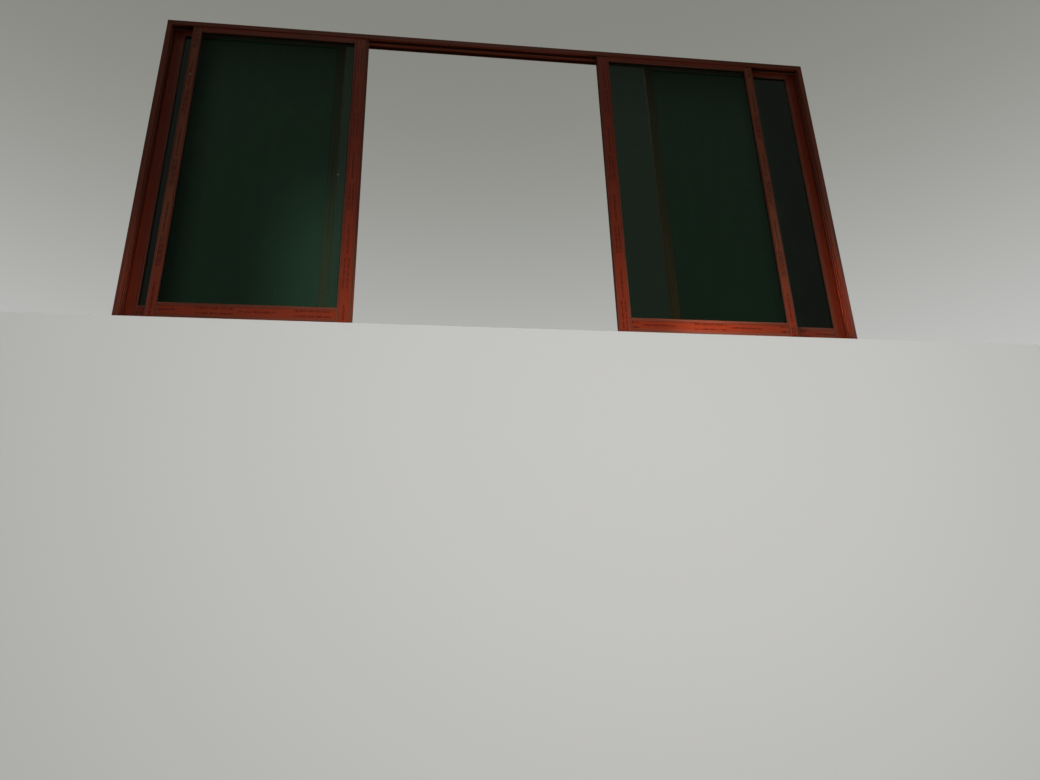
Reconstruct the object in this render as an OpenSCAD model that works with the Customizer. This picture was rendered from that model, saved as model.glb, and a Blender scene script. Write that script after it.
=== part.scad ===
// Sliding window in coated aluminium: a two-track frame, a rear pair of sashes that stand
// beside the jambs, and a front pair that runs in front of them and stands slid open.
// The origin is the middle of the sill's underside. X runs along the sill, Y runs from the
// room side to the back, and Z is up.

/* [Frame] */
// Overall width of the frame
frame_w = 3200; // [2400:10:3800]
// Overall height of the frame
frame_h = 1625; // [1100:5:2000]
// Wall thickness of the frame's extrusions
frame_wall = 1.6; // [1.2:0.1:2.4]
// Gap between a sash's face and the fin beside it, which a pile strip closes
pile_gap = 3.3; // [2.6:0.1:4.5]
// How far the head's fins cover the top of a sash
head_cover = 8; // [6:0.5:14]
// How far a jamb's fins cover the edge of a sash
jamb_cover = 6; // [5.4:0.2:10]
// How far the sill's fins cover the foot of a sash
sill_cover = 10.4; // [6:0.2:14]
// Height of the rails for the rollers, above the sill's base
rail_h = 17; // [14:0.5:20]
// Width of the rails' round top
rail_bead_d = 3.2; // [2.4:0.1:3.4]
// Free room on each side of the rails, under a sash
rail_clear = 1.5; // [1:0.1:2.5]
// Width of the hollow tongues on the jambs
tongue_w = 12; // [8:1:16]
// Gap between the tip of a tongue and the floor of the channel that it enters
tongue_gap = 4; // [2:0.5:5]

/* [Sashes] */
// Thickness of a sash
sash_d = 26; // [22:1:28]
// Wall thickness of the sash extrusions
sash_wall = 1.4; // [1.2:0.1:2]
// Radius of the long outer edges of the sash extrusions
edge_r = 1; // [0.4:0.1:1.2]
// Width of the stiles that meet the jambs and each other
lock_stile_w = 60; // [46:1:80]
// Width of the stiles that hook into each other
interlock_w = 42; // [40:1:70]
// Height of the top rails
top_rail_h = 36; // [34:1:70]
// Height of the bottom rails
bottom_rail_h = 82; // [64:1:120]
// How far a front and a rear sash overlap when they are closed
overlap = 70; // [60:1:80]
// Gap between the jamb's web and the edge of a closed sash
jamb_gap = 16.4; // [12:0.2:18]
// Gap between the frame's outer edge and the top of a sash
head_gap = 16; // [14:0.5:18]
// Gap between the sill's base and the underside of a sash
sill_gap = 8; // [6:0.5:9]
// Gap between the two meeting stiles when they are closed
meeting_gap = 2; // [1:0.5:4]
// Depth of the channel in the free edge of a lock stile
channel_depth = 10; // [9:0.5:14]
// Free length of the hooks' lips
hook_lip = 12; // [10:0.5:14]
// Wall thickness of the hooks
hook_wall = 1.2; // [1:0.1:1.6]
// Free room between a hook and the other sash, and between its ends and the frame's fins
hook_clear = 2; // [1:0.1:3]
// How far the two hooks' lips lie over each other when closed
hook_engage = 5; // [3:0.5:7]

/* [Glazing] */
// Thickness of the glass
glass_t = 5; // [4:1:6]
// Depth of the groove for the glass
groove_depth = 14; // [12:1:16]
// How far the glass reaches into the groove
glass_cover = 10; // [8:1:11]
// Thickness of a gasket, between the glass and the wall of the groove
gasket_t = 3.5; // [3:0.1:4]
// How far a gasket shows past the edge of the sash
gasket_show = 2.5; // [1:0.5:4]

/* [Position] */
// How far the left front sash is slid open, in percent of its travel
left_open = 87.5; // [0:0.5:100]
// How far the right front sash is slid open, in percent of its travel
right_open = 67; // [0:0.5:100]

/* [Rollers] */
// Diameter of a roller over its flanges
roller_d = 19; // [16:0.5:20]
// Width of a roller
roller_w = 7; // [6:0.5:8]
// Depth of the running groove in a roller
roller_groove = 1; // [0.5:0.1:1.5]
// Diameter of a roller's axle
axle_d = 4; // [3:0.5:5]
// Thickness of a carriage's folded sheet
carriage_t = 1.5; // [1:0.1:2]
// Free room beside and above a roller in its carriage
roller_clear = 0.8; // [0.5:0.1:1.2]
// Length of a roller carriage
carriage_l = 50; // [40:1:70]
// Distance from a stile to the near end of a carriage
carriage_inset = 40; // [20:5:120]

/* [Fixings] */
// Diameter of the fixing holes
fixing_d = 6.5; // [5:0.5:8]
// Distance from the top and bottom of a jamb to its outer fixing holes
jamb_fixing_end = 150; // [100:10:300]
// Distance from the outer to the inner fixing holes of a jamb
jamb_fixing_step = 440; // [200:10:450]
// Distance from the ends of the head to its outer fixing holes
head_fixing_end = 250; // [150:10:400]
// Distance from the outer to the inner fixing holes of the head
head_fixing_step = 900; // [400:10:900]
// Number of drain slots in the sill's rear fin
drain_count = 4; // [2:1:8]
// Length of a drain slot
drain_l = 30; // [20:1:50]
// Height of a drain slot
drain_h = 5; // [4:0.5:8]

/* [Hidden] */
$fn = 40;

mahogany = [0.42, 0.17, 0.11];
glass_green = [0.10, 0.20, 0.15];
black = [0.07, 0.07, 0.07];
pile_dark = [0.14, 0.13, 0.12];
zinc = [0.72, 0.73, 0.74];

// Overlap of cutting shapes past the faces that they cut
eps = 1;

half_w = frame_w / 2;
// Depth of the frame, from its room side to its back: two tracks between three fins
frame_d = 3 * frame_wall + 2 * (sash_d + 2 * pile_gap);
// Length of the head and of the sill, which fit between the jambs' webs
inner_w = frame_w - 2 * frame_wall;
// Distance of each track's middle from the middle of the frame's depth
track_y = (frame_d - frame_wall) / 4;
// Free space between the front and the rear sashes
sash_gap = 2 * track_y - sash_d;

// The tips of the fins are half round. Pile strips sit between two small ribs beside them.
tip_r = frame_wall / 2;
rib_t = 0.8;
rib_clear = 1.4;
rib_h = pile_gap - rib_clear;
pile_base_w = 3.4;
pile_base_t = 0.8;
pile_w = 2;

// Screw ports are round channels along the head, the sill and the sashes' rails, open on
// one side
port_d = 5.2;
port_bore = 3.4;
port_mouth = 2.8;
port_sink = 0.4;

sash_z = frame_wall + sill_gap;
sash_h = frame_h - head_gap - sash_z;
stile_inset = frame_wall + jamb_gap;
sash_w = (half_w - stile_inset - meeting_gap / 2 + overlap) / 2;
rail_l = sash_w - lock_stile_w - interlock_w;
rear_x = -half_w + stile_inset;
head_fin_l = head_gap + head_cover;
jamb_fin_l = stile_inset + jamb_cover;
sill_fin_l = sash_z + sill_cover;
tongue_l = stile_inset + channel_depth - tongue_gap;
front_closed_x = -meeting_gap / 2 - sash_w;
// A front sash stops this far short of the jamb's fins and tongue
stop_gap = 4;
travel = front_closed_x + half_w - max(jamb_fin_l, tongue_l) - stop_gap;

// The clear opening that the glass fills, seen from the room
light_w = rail_l;
light_h = sash_h - top_rail_h - bottom_rail_h;
groove_w = glass_t + 2 * gasket_t;

// Height of the roller chamber under a bottom rail's inner floor
rail_top = frame_wall + rail_h - sash_z;
roller_z = rail_top + roller_d / 2 - roller_groove;
chamber_h = roller_z + roller_d / 2 + roller_clear + carriage_t;
// The axle's ends stand this far past the roller, through the carriage's sheets
axle_end = 3;
// Play of the axle in the carriage, and of the rail in the roller's groove
axle_play = 0.2;
groove_play = 0.4;

hook_reach = sash_gap - hook_clear;
hook_inset = (overlap - (2 * hook_lip - hook_engage)) / 2;

// Frame sections. The first axis runs in from the frame's outer edge, and the second
// runs through the frame's depth.

module pile_ribs(length, v, side) {
    for (u = [length - tip_r - rib_t, length - tip_r - 2 * rib_t - pile_base_w])
        translate([u, side > 0 ? v : v - rib_h])
            square([rib_t, rib_h]);
}

module fins(length) {
    for (v = [-frame_d / 2, -frame_wall / 2, frame_d / 2 - frame_wall])
        translate([0, v]) {
            square([length - tip_r, frame_wall]);
            translate([length - tip_r, tip_r])
                circle(r = tip_r);
        }
    pile_ribs(length, -frame_d / 2 + frame_wall, 1);
    pile_ribs(length, -frame_wall / 2, -1);
    pile_ribs(length, frame_wall / 2, 1);
    pile_ribs(length, frame_d / 2 - frame_wall, -1);
}

module web() {
    translate([0, -frame_d / 2])
        square([frame_wall, frame_d]);
}

// Round channel whose mouth looks along the first axis.
module port_section() {
    difference() {
        circle(d = port_d);
        circle(d = port_bore);
        translate([0, -port_mouth / 2])
            square([port_d, port_mouth]);
    }
}

// The frame's ports stand in the corner between the web and a fin whose face is at v.
module screw_port(v) {
    translate([frame_wall + port_d / 2 - port_sink, v + port_d / 2 - port_sink])
        port_section();
}

// Hollow tongue with round corners, from its foot at 0 to its tip.
module tongue_section(length, foot_wall, tip_wall) {
    translate([0, -tongue_w / 2])
        difference() {
            union() {
                square([length - edge_r, tongue_w]);
                translate([length - edge_r, edge_r])
                    square([edge_r, tongue_w - 2 * edge_r]);
                for (v = [edge_r, tongue_w - edge_r])
                    translate([length - edge_r, v])
                        circle(r = edge_r);
            }
            translate([foot_wall, sash_wall])
                square([length - foot_wall - tip_wall, tongue_w - 2 * sash_wall]);
        }
}

module head_section() {
    web();
    fins(head_fin_l);
    screw_port(-frame_d / 2 + frame_wall);
    screw_port(frame_wall / 2);
}

module track_rail(v) {
    translate([0, v - rail_bead_d / 4])
        square([frame_wall + rail_h - rail_bead_d / 2, rail_bead_d / 2]);
    translate([frame_wall + rail_h - rail_bead_d / 2, v])
        circle(d = rail_bead_d);
}

module sill_section() {
    web();
    fins(sill_fin_l);
    screw_port(-frame_d / 2 + frame_wall);
    screw_port(frame_wall / 2);
    track_rail(-track_y);
    track_rail(track_y);
}

module jamb_fin_section() {
    web();
    fins(jamb_fin_l);
    for (v = [-track_y, track_y])
        translate([0, v])
            tongue_section(tongue_l, frame_wall, sash_wall);
}

// Pile strip: a flat base between the ribs and a brush that touches the sash's face.

module pile_section(length) {
    for (side = [0, 1], v = [-frame_d / 2 + frame_wall, frame_wall / 2])
        mirror([0, side])
            translate([length - tip_r - rib_t - pile_base_w, v]) {
                square([pile_base_w, pile_base_t]);
                translate([(pile_base_w - pile_w) / 2, 0])
                    square([pile_w, pile_gap]);
            }
}

// Runs a section along the head, hanging from the top of the frame.
module along_head() {
    translate([-inner_w / 2, 0, frame_h])
        rotate([0, 90, 0])
            linear_extrude(inner_w)
                children();
}

// Runs a section along the sill, standing on its underside.
module along_sill() {
    translate([inner_w / 2, 0, 0])
        rotate([0, -90, 0])
            linear_extrude(inner_w)
                children();
}

// Runs a section up the left jamb, between the fins of the sill and of the head.
module along_jamb() {
    translate([-half_w, 0, sill_fin_l])
        linear_extrude(frame_h - sill_fin_l - head_fin_l)
            children();
}

function fixing_places(end, step, length) = [end, end + step, length - end - step, length - end];

module head() {
    color(mahogany)
        difference() {
            along_head()
                head_section();
            for (x = fixing_places(head_fixing_end, head_fixing_step, frame_w), v = [-track_y, track_y])
                translate([x - half_w, v, frame_h - frame_wall - eps])
                    cylinder(d = fixing_d, h = frame_wall + 2 * eps);
        }
}

module sill() {
    pitch = inner_w / drain_count;
    color(mahogany)
        difference() {
            along_sill()
                sill_section();
            for (k = [0:drain_count - 1])
                translate([-inner_w / 2 + (k + 0.5) * pitch - drain_l / 2,
                           frame_d / 2 - frame_wall - eps, frame_wall])
                    cube([drain_l, frame_wall + 2 * eps, drain_h]);
        }
}

module left_jamb() {
    // The screws go beside the tongues, in the gap next to the outer fins.
    hole_y = (frame_d / 2 - frame_wall + track_y + tongue_w / 2) / 2;
    color(mahogany)
        difference() {
            union() {
                translate([-half_w, -frame_d / 2, 0])
                    cube([frame_wall, frame_d, frame_h]);
                along_jamb()
                    jamb_fin_section();
            }
            for (z = fixing_places(jamb_fixing_end, jamb_fixing_step, frame_h), v = [-hole_y, hole_y])
                translate([-half_w - eps, v, z])
                    rotate([0, 90, 0])
                        cylinder(d = fixing_d, h = frame_wall + 2 * eps);
        }
}

module right_jamb() {
    mirror([1, 0, 0])
        left_jamb();
}

module head_pile() {
    color(pile_dark)
        along_head()
            pile_section(head_fin_l);
}

module sill_pile() {
    color(pile_dark)
        along_sill()
            pile_section(sill_fin_l);
}

module left_jamb_pile() {
    color(pile_dark)
        along_jamb()
            pile_section(jamb_fin_l);
}

module right_jamb_pile() {
    mirror([1, 0, 0])
        left_jamb_pile();
}

// Sash sections. The first axis runs from the member's free edge to the glass, and the
// second runs through the sash's thickness. Each is a tube with a groove for the glass.

module sash_outline(w) {
    translate([edge_r, -sash_d / 2])
        square([w - 2 * edge_r, sash_d]);
    translate([0, -sash_d / 2 + edge_r])
        square([w, sash_d - 2 * edge_r]);
    for (u = [edge_r, w - edge_r], v = [edge_r - sash_d / 2, sash_d / 2 - edge_r])
        translate([u, v])
            circle(r = edge_r);
}

module sash_section(w, floor_at, lips_at = []) {
    inner_v = sash_d / 2 - sash_wall;
    intersection() {
        sash_outline(w);
        union() {
            for (side = [0, 1])
                mirror([0, side]) {
                    translate([0, inner_v])
                        square([w, sash_wall]);
                    translate([w - groove_depth, groove_w / 2])
                        square([groove_depth, sash_wall]);
                    for (u = concat(lips_at, w - sash_wall))
                        translate([u, groove_w / 2])
                            square([sash_wall, inner_v - groove_w / 2 + sash_wall / 2]);
                }
            for (u = [floor_at, w - groove_depth - sash_wall])
                translate([u, -sash_d / 2])
                    square([sash_wall, sash_d]);
        }
    }
}

// A rail's two screw ports stand on its side walls, halfway up the tube over its floor.
module rail_ports(w, floor_at) {
    u = (floor_at + w - groove_depth) / 2;
    v = sash_d / 2 - sash_wall - port_d / 2 + port_sink;
    for (side = [0, 1])
        mirror([0, side])
            translate([u, v])
                rotate(-90)
                    port_section();
}

// The free edge is a channel that the jamb's tongue enters.
module lock_section() {
    sash_section(lock_stile_w, channel_depth);
}

module interlock_section() {
    sash_section(interlock_w, 0);
}

// A hook on the back takes hold of the other sash's hook when both are closed. It starts
// inside the wall that carries it, and its lip ends in a half round.
module hook_section() {
    translate([hook_inset, sash_d / 2]) {
        translate([0, -sash_wall / 2])
            square([hook_wall, hook_reach + sash_wall / 2]);
        translate([0, hook_reach - hook_wall])
            square([hook_lip - hook_wall / 2, hook_wall]);
        translate([hook_lip - hook_wall / 2, hook_reach - hook_wall / 2])
            circle(d = hook_wall);
    }
}

module top_rail_section() {
    sash_section(top_rail_h, channel_depth);
    rail_ports(top_rail_h, channel_depth);
}

// The free edge is the roller chamber, with two lips that stand beside the track's rail.
module bottom_rail_section() {
    sash_section(bottom_rail_h, chamber_h, [0]);
    rail_ports(bottom_rail_h, chamber_h);
}

// A sash's own frame: the interlock stile's free edge is at x = 0, the lock stile's free
// edge at x = sash_w, the middle of the glass at y = 0 and the underside at z = 0.

// Cut across a stile's foot, through which the track's rail passes.
module foot_notch() {
    notch_w = rail_bead_d + 2 * rail_clear;
    translate([-eps, -notch_w / 2, -eps])
        cube([sash_w + 2 * eps, notch_w, rail_top + rail_clear + eps]);
}

// The hook stops short of the fins of the sill and of the head, which run beside it.
module interlock_stile() {
    hook_z = sill_cover + hook_clear;
    color(mahogany)
        difference() {
            union() {
                linear_extrude(sash_h)
                    interlock_section();
                translate([0, 0, hook_z])
                    linear_extrude(sash_h - head_cover - hook_clear - hook_z)
                        hook_section();
            }
            foot_notch();
        }
}

module lock_stile() {
    color(mahogany)
        difference() {
            translate([sash_w, 0, 0])
                mirror([1, 0, 0])
                    linear_extrude(sash_h)
                        lock_section();
            foot_notch();
        }
}

module top_rail() {
    color(mahogany)
        translate([interlock_w, 0, sash_h])
            rotate([0, 90, 0])
                linear_extrude(rail_l)
                    top_rail_section();
}

module bottom_rail() {
    color(mahogany)
        translate([interlock_w + rail_l, 0, 0])
            rotate([0, -90, 0])
                linear_extrude(rail_l)
                    bottom_rail_section();
}

module glass() {
    color(glass_green)
        translate([interlock_w - glass_cover, -glass_t / 2, bottom_rail_h - glass_cover])
            cube([light_w + 2 * glass_cover, glass_t, light_h + 2 * glass_cover]);
}

// One rectangular ring, from `outside` beyond the clear opening to `inside` within it.
module light_ring(outside, inside, thickness) {
    difference() {
        translate([interlock_w - outside, 0, bottom_rail_h - outside])
            cube([light_w + 2 * outside, thickness, light_h + 2 * outside]);
        translate([interlock_w + inside, -eps, bottom_rail_h + inside])
            cube([light_w - 2 * inside, thickness + 2 * eps, light_h - 2 * inside]);
    }
}

// The two gaskets of a sash, and the two blocks that its glass stands on.
module gasket() {
    // The gaskets stop this far short of the glass's edge.
    gasket_short = 2;
    gasket_in = glass_cover - gasket_short;
    block_l = 90;
    block_h = groove_depth - glass_cover;
    color(black) {
        translate([0, glass_t / 2, 0])
            light_ring(gasket_in, gasket_show, gasket_t);
        translate([0, -glass_t / 2 - gasket_t, 0])
            light_ring(gasket_in, gasket_show, gasket_t);
        for (x = [light_w / 4, light_w * 3 / 4])
            translate([interlock_w + x - block_l / 2, -glass_t / 2, bottom_rail_h - groove_depth])
                cube([block_l, glass_t, block_h]);
    }
}

// Wheel and axle in one piece, turned about Y.
module roller() {
    r = roller_d / 2;
    r_run = r - roller_groove;
    run_w = rail_bead_d + groove_play;
    rotate([90, 0, 0])
        rotate_extrude()
            union() {
                translate([0, -roller_w / 2 - axle_end])
                    square([axle_d / 2, roller_w + 2 * axle_end]);
                translate([0, -roller_w / 2])
                    square([r_run, roller_w]);
                for (v = [-roller_w / 2, run_w / 2])
                    translate([0, v])
                        square([r, (roller_w - run_w) / 2]);
            }
}

module carriage() {
    plate_y = roller_w / 2 + roller_clear;
    plate_z = roller_z - axle_d;
    translate([0, 0, roller_z])
        roller();
    difference() {
        union() {
            for (side = [0, 1])
                mirror([0, side, 0])
                    translate([-carriage_l / 2, plate_y, plate_z])
                        cube([carriage_l, carriage_t, chamber_h - plate_z]);
            translate([-carriage_l / 2, -plate_y - carriage_t, chamber_h - carriage_t])
                cube([carriage_l, 2 * (plate_y + carriage_t), carriage_t]);
        }
        translate([0, 0, roller_z])
            rotate([90, 0, 0])
                cylinder(d = axle_d + axle_play, h = sash_d, center = true);
    }
}

module rollers() {
    color(zinc)
        for (x = [carriage_inset + carriage_l / 2, rail_l - carriage_inset - carriage_l / 2])
            translate([interlock_w + x, 0, 0])
                carriage();
}

// Strip in the channel of the left meeting stile, which enters the right one when closed.
module meeting_tongue_strip() {
    tongue_out = meeting_gap + channel_depth - tongue_gap;
    inner_d = sash_d - 2 * sash_wall;
    color(mahogany)
        difference() {
            translate([sash_w - channel_depth, 0, 0])
                linear_extrude(sash_h) {
                    translate([0, -inner_d / 2])
                        square([sash_wall, inner_d]);
                    tongue_section(channel_depth + tongue_out, sash_wall, sash_wall);
                }
            translate([tongue_out, 0, 0])
                foot_notch();
        }
}

// Places of the four sashes. A rear sash is a front one turned half round.

module at_rear_left() {
    translate([rear_x + sash_w, track_y, sash_z])
        rotate([0, 0, 180])
            children();
}

module at_front_left() {
    translate([front_closed_x - travel * left_open / 100, -track_y, sash_z])
        children();
}

module at_rear_right() {
    mirror([1, 0, 0])
        at_rear_left()
            children();
}

module at_front_right() {
    mirror([1, 0, 0])
        translate([front_closed_x - travel * right_open / 100, -track_y, sash_z])
            children();
}

module meeting_tongue() {
    at_front_left()
        meeting_tongue_strip();
}

head();
sill();
left_jamb();
right_jamb();
head_pile();
sill_pile();
left_jamb_pile();
right_jamb_pile();
at_rear_left() lock_stile();  // rear_left_lock_stile
at_rear_left() interlock_stile();  // rear_left_interlock_stile
at_rear_left() top_rail();  // rear_left_top_rail
at_rear_left() bottom_rail();  // rear_left_bottom_rail
at_rear_left() glass();  // rear_left_glass
at_rear_left() gasket();  // rear_left_gasket
at_rear_left() rollers();  // rear_left_rollers
at_rear_right() lock_stile();  // rear_right_lock_stile
at_rear_right() interlock_stile();  // rear_right_interlock_stile
at_rear_right() top_rail();  // rear_right_top_rail
at_rear_right() bottom_rail();  // rear_right_bottom_rail
at_rear_right() glass();  // rear_right_glass
at_rear_right() gasket();  // rear_right_gasket
at_rear_right() rollers();  // rear_right_rollers
at_front_left() lock_stile();  // front_left_lock_stile
at_front_left() interlock_stile();  // front_left_interlock_stile
at_front_left() top_rail();  // front_left_top_rail
at_front_left() bottom_rail();  // front_left_bottom_rail
at_front_left() glass();  // front_left_glass
at_front_left() gasket();  // front_left_gasket
at_front_left() rollers();  // front_left_rollers
at_front_right() lock_stile();  // front_right_lock_stile
at_front_right() interlock_stile();  // front_right_interlock_stile
at_front_right() top_rail();  // front_right_top_rail
at_front_right() bottom_rail();  // front_right_bottom_rail
at_front_right() glass();  // front_right_glass
at_front_right() gasket();  // front_right_gasket
at_front_right() rollers();  // front_right_rollers
meeting_tongue();
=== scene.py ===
import math

import bpy
import numpy as np
from bpy.props import FloatProperty, FloatVectorProperty, PointerProperty, StringProperty
from bpy.types import Operator, Panel, PropertyGroup
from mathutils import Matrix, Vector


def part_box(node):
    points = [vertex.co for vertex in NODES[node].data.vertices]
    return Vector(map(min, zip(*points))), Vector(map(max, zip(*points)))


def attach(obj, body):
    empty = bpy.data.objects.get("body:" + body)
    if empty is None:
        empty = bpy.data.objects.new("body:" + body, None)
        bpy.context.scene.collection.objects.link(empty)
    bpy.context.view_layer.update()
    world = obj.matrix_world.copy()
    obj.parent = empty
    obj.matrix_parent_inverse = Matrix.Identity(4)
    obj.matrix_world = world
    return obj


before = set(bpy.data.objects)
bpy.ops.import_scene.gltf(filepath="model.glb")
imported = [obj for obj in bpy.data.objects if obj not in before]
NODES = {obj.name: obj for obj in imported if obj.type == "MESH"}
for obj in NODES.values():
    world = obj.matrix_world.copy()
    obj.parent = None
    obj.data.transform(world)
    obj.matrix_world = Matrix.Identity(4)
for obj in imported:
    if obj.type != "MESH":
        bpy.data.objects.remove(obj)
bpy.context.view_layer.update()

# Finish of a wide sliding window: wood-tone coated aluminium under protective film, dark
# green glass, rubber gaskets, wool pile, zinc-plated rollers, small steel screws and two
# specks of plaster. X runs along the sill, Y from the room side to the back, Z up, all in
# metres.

bl_info = {
    "name": "Sliding window finish",
    "version": (1, 0, 0),
    "blender": (4, 5, 0),
    "location": "View3D > Sidebar > Window",
    "description": "Gives a sliding window its coating, film, glass, seals, rollers, screws and studio",
    "category": "Object",
}

BODY = "root"
MM = 0.001

SASHES = ("rear_left", "rear_right", "front_left", "front_right")
UPRIGHT_MEMBERS = ("lock_stile", "interlock_stile")
LEVEL_MEMBERS = ("top_rail", "bottom_rail")

# The photograph's width in pixels, for the lens.
PHOTO_W = 1040

# The strips of film: how wide they are on each member, how far the two outer rows of print lie
# from the strip's middle line, and how much painted reflection of grey light turns the film's
# colour browner and greyer. Plain film has no print, as on the rear sashes' lock stiles, and the
# interlock stiles' film carries the painted reflection but for its foot.
PLAIN = -1.0
FILM = {
    "lock_stile": (42 * MM, 8 * MM, 0.0),
    "interlock_stile": (28 * MM, 5.5 * MM, 1.0),
    "top_rail": (11 * MM, PLAIN, 0.0),
    "bottom_rail": (42 * MM, 12 * MM, 0.0),
}

# The thin layer of air under the film.
FILM_AIR = 0.15 * MM

# The film's creases: how far they turn from the strip's length, in radians either way, the
# lowest as a share of the highest, and how wide and how long they are, in millimetres.
CREASE_TURN = 0.9
CREASE_LOWEST = 0.3
CREASE_WIDE = (2.0, 5.0)
CREASE_LONG = (12, 45)

# The two waves in which the film's edges stand off, in radians a metre.
FLUTTER_SHORT = (40, 60)
FLUTTER_LONG = (14, 22)

# The print's groups, and the dashes in a group: each has its length with the gap, the gap,
# and how unevenly it is spaced. The two rows are shifted along the strip, one each way.
GROUP = (36 * MM, 6 * MM, 0.8)
DASH = (7 * MM, 1.8 * MM, 0.5)
ROW_SHIFT = 1.37

# The ports that the screws enter: in the frame, their distance from its outer edges and the
# place of the rear one in its depth. In a sash, their distance from the glass's middle plane,
# from the sash's top and from its underside. The heads in a lock stile's edge lie as deep as
# its channel, and in the front left one they lie on the plate of the meeting tongue.
FRAME_PORT = 3.8 * MM
FRAME_PORT_REAR = 3.0 * MM
SASH_PORT = 9.4 * MM
SASH_PORT_TOP = 16 * MM
SASH_PORT_FOOT = 48.65 * MM
LOCK_CHANNEL = 10 * MM
TONGUE_PLATE = 1.4 * MM

# Specks of plaster on the left front sash: the member, their distance from the sash's left
# edge and below its top, their radius, and the start of their random outline.
SPECKS = (
    ("interlock_stile", 20 * MM, 0.305, 4.8 * MM, 50),
    ("glass", 0.729, 0.826, 3.2 * MM, 51),
)

# Soft boxes: name, place, what it points at, width, height, watts, tint, what it lights
# ("window" is all but the floor), and whether glossy things mirror it. Five low strips in
# front make the window's foot the brightest, more so on the right, as in the photograph. Two
# narrow warm beams light the foot of one jamb each. The wash and the ceiling light the floor
# alone.
LIGHTS = (
    ("foot_far_left", (-1.3, -0.5, -0.15), (-1.3, 0.0, 0.6), 0.9, 0.25, 0.8, "#FFFFF4", "window", False),
    ("foot_left", (-0.45, -0.5, -0.15), (-0.45, 0.0, 0.6), 0.9, 0.25, 2.7, "#FFFCEC", "window", False),
    ("foot_right", (0.45, -0.5, -0.15), (0.45, 0.0, 0.6), 0.9, 0.25, 2.75, "#FFFFF8", "window", False),
    ("foot_far_right", (1.3, -0.5, -0.15), (1.3, 0.0, 0.6), 0.9, 0.25, 0.8, "#FFFFF4", "window", False),
    ("corner_right", (0.9, -0.35, -0.1), (1.6, 0.0, 0.2), 0.5, 0.15, 1.7, "#FFFCF2", "window", False),
    ("beam_right", (0.75, -0.3, -0.08), (1.62, -0.02, 0.25), 0.2, 0.12, 0.42, "#FF9468", "right_jamb", False),
    ("beam_left", (-0.75, -0.3, -0.08), (-1.62, -0.02, 0.22), 0.2, 0.12, 0.13, "#FFBC95", "left_jamb", False),
    ("side_left", (-3.4, -1.6, 1.6), (0.0, 0.0, 0.8), 0.8, 1.4, 4.2, "#FFFFFF", "window", True),
    ("side_right", (3.4, -1.6, 1.6), (0.0, 0.0, 0.8), 0.8, 1.4, 6.3, "#FFFFEE", "window", True),
    ("overhead", (-0.4, -1.7, 4.4), (0.0, 0.0, 0.8), 3.0, 1.0, 4.8, "#FFE7D2", "window", True),
    ("back_high", (0.0, 1.4, 4.4), (0.0, 0.0, 0.8), 3.6, 1.2, 20.0, "#FFFDF8", "window", True),
    ("back", (0.0, 2.6, 3.0), (0.0, 0.0, 0.8), 3.6, 1.2, 40.0, "#FFFDF8", "window", False),
    ("wash", (0.6, -4.5, -0.6), (0.6, 0.0, -0.9), 4.5, 1.5, 130.0, "#FFFFFF", "floor", True),
    ("ceiling", (0.0, 0.0, 10.0), (0.0, 0.0, 0.0), 28.0, 28.0, 3200.0, "#FFFFFF", "floor", True),
)
BEAM_SPREAD = math.radians(40)

# How bright the unseen surroundings are in front of the window and behind it.
AMBIENT_FRONT = 0.005
AMBIENT_BACK = 0.019

# How much brighter the back is when seen through the glass by an eye that looks level or
# down, and between which heights of its direction that fades out.
BEHIND_GLASS = 0.25
BEHIND_GLASS_FADE = (0.25, 0.42)

# Soft patches in front of the window, which the glass mirrors: each has its lowest and highest
# slope sideways and upwards, that is x / -y and z / -y, how soft its edges are in each, and
# its brightness.
PATCHES = (
    (-0.36, 0.56, 0.3, 1.1, 0.05, 0.22, 0.145),
    (-0.26, -0.02, 0.2, 0.82, 0.13, 0.22, 0.335),
    (-1.0, 1.2, 1.1, 2.4, 0.1, 0.2, 0.17),
    (-1.0, 1.2, -0.6, 0.3, 0.1, 0.2, 0.06),
)


def linear(hex_colour, alpha=1.0):
    """An sRGB hex colour as linear light."""
    parts = [int(hex_colour[k : k + 2], 16) / 255 for k in (1, 3, 5)]
    return (*[c / 12.92 if c <= 0.04045 else ((c + 0.055) / 1.055) ** 2.4 for c in parts], alpha)


def add(tree, kind, inputs=None, **settings):
    """Adds one node with its settings and inputs.

    An input is a value, an output to link, or a node whose first output in use is linked.
    """
    made = tree.nodes.new(kind)
    for name, value in settings.items():
        setattr(made, name, value)
    for name, value in (inputs or {}).items():
        if isinstance(value, bpy.types.Node):
            value = next(output for output in value.outputs if output.enabled)
        if isinstance(value, bpy.types.NodeSocket):
            tree.links.new(value, made.inputs[name])
        else:
            made.inputs[name].default_value = value
    return made


def new_material(name):
    """A new material with no nodes yet, and its node tree."""
    material = bpy.data.materials.new(name)
    material.use_nodes = True
    material.node_tree.nodes.clear()
    return material, material.node_tree


def dress(node, material):
    """Puts a material on a CAD node, in place of its plain one."""
    slots = NODES[node].data.materials
    slots.clear()
    slots.append(material)


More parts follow.
